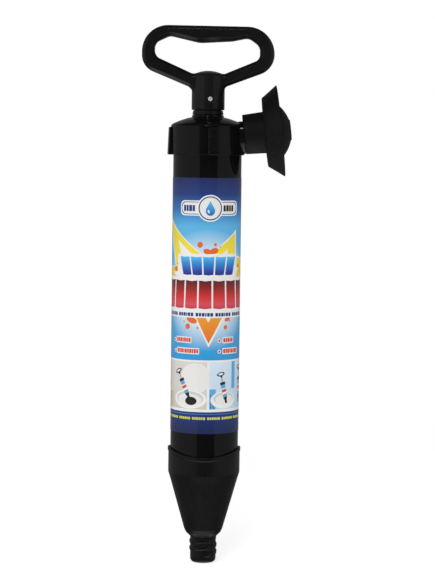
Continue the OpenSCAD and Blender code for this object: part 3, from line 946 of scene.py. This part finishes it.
def pictures():
    """Four simple pictures of basins and pumps round the label's lower part."""
    shapes = [
        ("cream", rect(-48, 144.5, 2.2, 188)), ("paper", ellipse(-9, 173, 15, 14)),
        ("beige", rect(-48, 144.5, -36, 159)), ("white", ellipse(-15, 153.5, 17, 8.8)),
        ("shade", ellipse(-15, 154.3, 14, 6.6)), ("paper", ellipse(-15, 153.2, 12.4, 5.4)),
        ("black", ellipse(-13, 152.0, 5.8, 3.9)),
        *small_pump(-14.6, 154.5, 1.02, math.radians(27)),
        ("pale_blue", rect(4.4, 144.5, 52, 188)), ("mid_blue", rect(28, 163, 33, 188)),
        ("mid_blue", rect(4.4, 144.5, 10.5, 163)), ("navy", rect(5.6, 144.5, 6.2, 158)),
        ("navy", rect(7.9, 144.5, 8.5, 158)), ("white", ellipse(19, 153.0, 13.5, 8.0)),
        ("shade", ellipse(19.4, 154.3, 11, 5.8)), ("paper", ellipse(19.8, 153.2, 9.6, 4.8)),
        *small_pump(21.5, 150.5, 1.0, math.radians(13)),
        *small_pump(42.5, 149.5, 1.2, 0.0),
        ("cream", rect(54.4, 144.5, 97, 188)), ("white", ellipse(75, 155, 16, 8)),
        ("shade", ellipse(75, 156, 13, 5.6)), *small_pump(76, 153, 1.0, math.radians(18)),
        ("pale_blue", rect(-97, 144.5, -50.2, 188)), ("white", ellipse(-74, 155, 16, 8)),
        ("shade", ellipse(-74, 156, 13, 5.6)), *small_pump(-73, 153, 1.0, math.radians(-16)),
        ("white", ellipse(-47.5, 166, 5.4, 6.4)), ("red", ellipse(-47.5, 166, 4.5, 5.5)),
    ]
    shapes += dashes("yellow", -HALF_WRAP + 3, HALF_WRAP - 3, 134.9, 137.3,
                     (1.9, 1.5, 2.2, 1.7, 1.3, 2.0, -1.5), 0.35)
    return shapes


def side_notes():
    """Plain panels with lines of blocks towards the back."""
    shapes = []
    for s0, s1 in ((-93, -58), (58, 93)):
        shapes.append(("white", pill(s0, 204, s1, 332, 3)))
        shapes.append(("line_blue", pill(s0 + 2, 318, s1 - 2, 329, 2)))
        for k in range(9):
            z = 309 - k * 11.5
            shapes.append(("line_blue", ellipse(s0 + 5, z, 1.5, 1.5, steps=14)))
            shapes += dashes("gray", s0 + 9, s1 - 3, z - 0.2, z + 1.4, (2.6, 1.7, 3.4, 2.1, -1.0), 0.4)
            shapes += dashes("gray", s0 + 9, s1 - 6, z - 3.6, z - 2.0, (1.9, 3.1, 2.3, 1.5, -1.0), 0.4)
    return shapes


def holds(polygon, s, z):
    """Whether a point is inside a polygon."""
    inside = False
    for (s0, z0), (s1, z1) in zip(polygon, polygon[1:] + polygon[:1]):
        if (z0 > z) != (z1 > z) and s < (s1 - s0) * (z - z0) / (z1 - z0) + s0:
            inside = not inside
    return inside


def film_radius(s):
    """The label's outer radius: its last few millimetres lie over its first ones at the back."""
    return LABEL_R + OVERLAP_RISE * smoothstep(HALF_WRAP - 1.5, HALF_WRAP - 0.3, s)


def cut_art(shapes):
    """Cuts the label's sheet along every shape and column: points, triangles and their inks."""
    points, edges = [], []

    def add_loop(loop):
        first = len(points)
        points.extend(Vector(p) for p in loop)
        edges.extend((first + k, first + (k + 1) % len(loop)) for k in range(len(loop)))

    s0, s1 = -HALF_WRAP, HALF_WRAP + OVERLAP
    add_loop(rect(s0, ART_LOW, s1, ART_HIGH))
    for k in range(1, int((s1 - s0) / (COLUMN * LABEL_R)) + 1):
        s = s0 + k * COLUMN * LABEL_R
        first = len(points)
        points.extend([Vector((s, ART_LOW)), Vector((s, ART_HIGH))])
        edges.append((first, first + 1))
    clipped = []
    for ink, loop in shapes:
        loop = [(min(max(s, s0), s1), min(max(z, ART_LOW), ART_HIGH)) for s, z in loop]
        clipped.append((ink, loop, min(s for s, _ in loop), max(s for s, _ in loop),
                        min(z for _, z in loop), max(z for _, z in loop)))
        add_loop(loop)
    found, _, faces, *_ = delaunay_2d_cdt(points, edges, [], 0, 0.0005)
    inks = []
    for face in faces:
        s = sum(found[v].x for v in face) / len(face)
        z = sum(found[v].y for v in face) / len(face)
        ink = "sky"
        for name, loop, low_s, high_s, low_z, high_z in reversed(clipped):
            if low_s <= s <= high_s and low_z <= z <= high_z and holds(loop, s, z):
                ink = name
                break
        inks.append(ink)
    return found, faces, inks


def label_film():
    """The printed film as a thin solid, with one material for each ink."""
    shapes = bands() + side_notes() + plaque() + middle_art() + notes() + pictures()
    flat, faces, inks = cut_art(shapes)
    count = len(flat)
    verts = []
    for thickness in (0.0, FILM_T):
        for p in flat:
            r, a = film_radius(p.x) - thickness, p.x / LABEL_R
            verts.append((r * math.sin(a), -r * math.cos(a), p.y + ART_LIFT))
    edge_uses = {}
    for face in faces:
        for a, b in zip(face, face[1:] + face[:1]):
            edge_uses[(a, b)] = edge_uses.get((b, a), 0) + 1
            if (b, a) in edge_uses:
                edge_uses[(b, a)] += 1
    rim = [(b, a, a + count, b + count) for (a, b), uses in edge_uses.items() if uses == 1]
    back = [tuple(v + count for v in reversed(face)) for face in faces]
    solid = [tuple(face) for face in faces] + back + rim
    mesh = bpy.data.meshes.new("label_film")
    mesh.from_pydata([Vector(v) * MM for v in verts], [], solid)
    names = sorted(set(inks)) + ["backing"]
    for name in names:
        mesh.materials.append(INKS[name])
    for polygon in mesh.polygons:
        index = polygon.index
        polygon.material_index = names.index(inks[index]) if index < len(faces) else len(names) - 1
    normals = []
    for polygon in mesh.polygons:
        for v in polygon.vertices:
            if polygon.index < 2 * len(faces):
                side = 1 if polygon.index < len(faces) else -1
                co = mesh.vertices[v].co
                normals.append(Vector((co.x, co.y, 0)).normalized() * side)
            else:
                normals.append(polygon.normal.copy())
    mesh.shade_smooth()
    mesh.normals_split_custom_set(normals)
    obj = bpy.data.objects.new("label_film", mesh)
    bpy.context.scene.collection.objects.link(obj)
    return obj


def film(name, colours, glow=None):
    """A glossy printed film in one colour, or in a list of (height, colour)."""
    s = Shader("ink_" + name)
    x, y, z = s.node("SeparateXYZ", {"Vector": s.place}).outputs
    z = s.maths("SUBTRACT", z, ART_LIFT * MM)
    if isinstance(colours, list):
        heights = [h for h, _ in colours]
        low, high = min(heights), max(heights)
        rise = s.remap(z, low * MM, high * MM, 0, 1)
        marks = sorted(((h - low) / (high - low), srgb(*c)) for h, c in colours)
        base = s.ramp(rise, marks)
    else:
        base = s.node("RGB").outputs[0]
        base.default_value = srgb(*colours)
    if glow:
        angle = s.maths("ARCTAN2", x, s.maths("MULTIPLY", y, -1))
        across = s.maths("DIVIDE", s.maths("SUBTRACT", angle, glow[0] / LABEL_R), glow[2] / LABEL_R)
        up = s.maths("DIVIDE", s.maths("SUBTRACT", z, glow[1] * MM), glow[3] * MM)
        far = s.maths("SQRT", s.maths("ADD", s.maths("POWER", across, 2), s.maths("POWER", up, 2)))
        base = s.mix(s.remap(far, 0.55, 1.08, 0.92, 0), base, srgb(236, 240, 240))
    print_grain = s.remap(s.noise(0.22, 2), 0.35, 0.65, 0.0, 0.07)
    s.color(s.mix(print_grain, base, srgb(150, 152, 155)))
    s.rough(s.remap(s.noise(6, 4), 0.3, 0.7, 0.10, 0.15))
    s.bump([(s.noise(7, 2, 0.4, (1, 1, 0.35)), 0.012), (s.noise(0.3, 2), 0.0012)])
    s.set(IOR=1.5)
    return s.material


# One colour, or colours at heights of the art
INK_COLOURS = {
    "sky": [
        (356, (26, 38, 90)), (341, (30, 56, 120)), (327, (40, 112, 182)), (312, (92, 178, 226)),
        (262, (96, 180, 226)), (205, (62, 160, 216)), (190, (40, 152, 214)),
    ],
    "white": (236, 236, 234),
    "paper": (231, 230, 227),
    "navy": [(142, (28, 58, 124)), (136, (24, 46, 104)), (122, (22, 34, 78))],
    "line_blue": (66, 120, 186),
    "burst": [
        (318, (232, 206, 52)), (286, (238, 222, 66)), (232, (236, 160, 44)), (206, (226, 112, 40)),
    ],
    "orange": (224, 106, 46),
    "blue_tile": [
        (284, (84, 184, 236)), (279, (52, 140, 214)), (272, (44, 76, 170)), (268, (34, 42, 134)),
    ],
    "red_tile": [
        (262.5, (86, 28, 34)), (255, (150, 34, 36)), (248, (206, 48, 46)), (241, (214, 76, 88)),
        (237, (196, 60, 84)),
    ],
    "red": (216, 68, 48),
    "yellow": (206, 208, 76),
    "cream": [(188, (216, 212, 206)), (165, (214, 210, 204)), (145, (206, 200, 190))],
    "beige": (196, 188, 166),
    "shade": (204, 206, 206),
    "pale_blue": [(188, (212, 228, 240)), (145, (190, 216, 236))],
    "mid_blue": (92, 170, 220),
    "sky_print": (96, 160, 206),
    "drop_blue": [(336, (90, 190, 236)), (321, (28, 92, 178))],
    "gray": (150, 156, 164),
    "black": (26, 26, 29),
    "backing": (222, 222, 218),
}
# White mixed into the sky: its middle s and z, and how far it reaches along each
SKY_GLOW = (2, 254, 46, 52)
INKS = {name: film(name, colours, SKY_GLOW if name == "sky" else None)
        for name, colours in INK_COLOURS.items()}
place(label_film(), "barrel", "label")


# ---------------------------------------------------------------- floor, light and camera

FLOOR_HALF = 6.0
FLOOR_GAP = 0.0005
# The floor glows faintly near the object and fades into the white room between these distances
FLOOR_GLOW = 0.64
FLOOR_NEAR = 0.15
FLOOR_FAR = 1.2


def floor():
    """A plain pale floor just under the nozzle's tip."""
    mesh = bpy.data.meshes.new("floor")
    corners = [(x * FLOOR_HALF, y * FLOOR_HALF, 0) for x, y in ((-1, -1), (1, -1), (1, 1), (-1, 1))]
    mesh.from_pydata(corners, [], [(0, 1, 2, 3)])
    obj = bpy.data.objects.new("floor", mesh)
    obj.location.z = -FLOOR_GAP
    bpy.context.scene.collection.objects.link(obj)
    s = Shader("floor_paper")
    away = s.node("VectorMath", operation="LENGTH")
    s.feed(s.place, away.inputs[0])
    far = s.remap(away.outputs["Value"], FLOOR_NEAR, FLOOR_FAR, 0, 1)
    paper = s.remap(s.noise(40, 3), 0.3, 0.7, 0.93, 0.96)
    grain = s.maths("MULTIPLY", paper, s.maths("SUBTRACT", 1, far))
    s.color(s.node("CombineColor", {"Red": grain, "Green": grain, "Blue": grain}).outputs["Color"])
    glow = s.maths("MULTIPLY_ADD", far, 1 - FLOOR_GLOW, FLOOR_GLOW)
    s.feed(glow, s.surface.inputs["Emission Strength"])
    s.set(Roughness=0.9, Emission_Color=(1, 1, 1, 1))
    mesh.materials.append(s.material)
    obj.visible_glossy = False


def panel(name, at, aim, size, power, glossy=False):
    """A soft square light aimed at a point of the object."""
    data = bpy.data.lights.new(name, "AREA")
    data.shape = "RECTANGLE"
    data.size, data.size_y = size
    data.energy = power
    obj = bpy.data.objects.new(name, data)
    obj.location = at
    obj.rotation_euler = (Vector(aim) - Vector(at)).to_track_quat("-Z", "Y").to_euler()
    obj.visible_glossy = glossy
    bpy.context.scene.collection.objects.link(obj)


def tent():
    """A white room for the camera, and a dim tent with a dark gap in front for reflections."""
    world = bpy.data.worlds.new("tent")
    world.use_nodes = True
    bpy.context.scene.world = world
    tree = world.node_tree
    tree.nodes.clear()

    def add(kind, **settings):
        made = tree.nodes.new("ShaderNode" + kind)
        for key, value in settings.items():
            setattr(made, key, value)
        return made

    def maths(operation, a, b=0.0, c=0.0):
        made = add("Math", operation=operation)
        for socket, value in zip(made.inputs, (a, b, c)):
            plug(tree, value, socket)
        return made.outputs[0]

    direction = add("SeparateXYZ")
    tree.links.new(add("TexCoord").outputs["Generated"], direction.inputs[0])
    x, y, z = direction.outputs
    azimuth = maths("ARCTAN2", x, maths("MULTIPLY", y, -1))
    off_gap = maths("ABSOLUTE", maths("SUBTRACT", azimuth, GAP_MIDDLE))
    beside = maths("SMOOTH_MIN", 1.0, maths("MAXIMUM", maths("DIVIDE", maths(
        "SUBTRACT", off_gap, GAP_HALF - GAP_SOFT), 2 * GAP_SOFT), 0.0), 0.1)
    sides = maths("MULTIPLY_ADD", beside, TENT_LIGHT - GAP_LIGHT, GAP_LIGHT)
    right = maths("MULTIPLY_ADD", maths("MAXIMUM", x, 0.0), -TENT_FALL, 1.0)
    reflected = maths("MULTIPLY", sides, right)

    def layer(start, full, light, under):
        """Fades from what is under it to its own light between two heights of a direction."""
        share = maths("DIVIDE", maths("SUBTRACT", z, start), full - start)
        share = maths("MINIMUM", maths("MAXIMUM", share, 0.0), 1.0)
        kept = maths("MULTIPLY", under, maths("SUBTRACT", 1.0, share))
        return maths("MULTIPLY_ADD", share, light, kept)

    reflected = layer(*CEILING, reflected)
    reflected = layer(*GROUND, reflected)
    reflected = layer(*BOUNCE, reflected)

    rays = add("LightPath")
    for_others = maths("ADD", maths("MULTIPLY", rays.outputs["Is Glossy Ray"], reflected), maths(
        "MULTIPLY", maths("SUBTRACT", 1.0, rays.outputs["Is Glossy Ray"]), FILL_LIGHT))
    camera_ray = rays.outputs["Is Camera Ray"]
    strength = maths("ADD", camera_ray, maths(
        "MULTIPLY", maths("SUBTRACT", 1.0, camera_ray), for_others))
    background = add("Background")
    background.inputs["Color"].default_value = (1, 1, 1, 1)
    tree.links.new(strength, background.inputs["Strength"])
    output = add("OutputWorld")
    tree.links.new(background.outputs[0], output.inputs["Surface"])


# The gap in the tent's front, where the camera stands, in radians round from -Y towards +X
GAP_MIDDLE = math.radians(5.0)
GAP_HALF = math.radians(30.0)
GAP_SOFT = math.radians(1.0)
GAP_LIGHT = 0.02
TENT_LIGHT = 0.20
TENT_FALL = 0.10
FILL_LIGHT = 0.25
# Layers of the tent: the heights of a direction where each begins and is full, and its light
CEILING = (0.35, 0.80, 0.04)
GROUND = (-0.22, -0.45, 0.062)
BOUNCE = (-0.74, -0.85, 0.70)

floor()
tent()
panel("key", (-0.5, -2.2, 1.6), (0, 0, 0.25), (1.2, 1.2), 20)
panel("left", (-1.8, -0.8, 0.7), (0, 0, 0.25), (1.0, 1.6), 8)
panel("right", (1.8, -0.6, 0.7), (0, 0, 0.25), (1.0, 1.6), 5.5)
panel("glint", (-0.05, -1.3, 1.5), (0, 0, 0.4), (0.22, 0.22), 1.5, glossy=True)

CAMERA_LENS = 122.2
CAMERA_AT = Vector((0.0107, -1.7952, 0.3900))
CAMERA_AIM = Vector((0.0107, 0, 0.2582))
CAMERA_ROLL = math.radians(0.7)

camera_data = bpy.data.cameras.new("camera")
camera_data.lens = CAMERA_LENS
camera_data.sensor_fit = "VERTICAL"
camera_data.sensor_height = 36
camera_data.clip_end = 50
camera = bpy.data.objects.new("camera", camera_data)
bpy.context.scene.collection.objects.link(camera)
forward = (CAMERA_AIM - CAMERA_AT).normalized()
level_right = forward.cross(Vector((0, 0, 1))).normalized()
level_up = level_right.cross(forward)
camera_right = level_right * math.cos(CAMERA_ROLL) + level_up * math.sin(CAMERA_ROLL)
camera_up = level_up * math.cos(CAMERA_ROLL) - level_right * math.sin(CAMERA_ROLL)
camera.matrix_world = Matrix.LocRotScale(
    CAMERA_AT, Matrix((camera_right, camera_up, -forward)).transposed(), None)
bpy.context.scene.camera = camera
bpy.context.scene.view_settings.view_transform = "Standard"
bpy.context.scene.view_settings.look = "None"
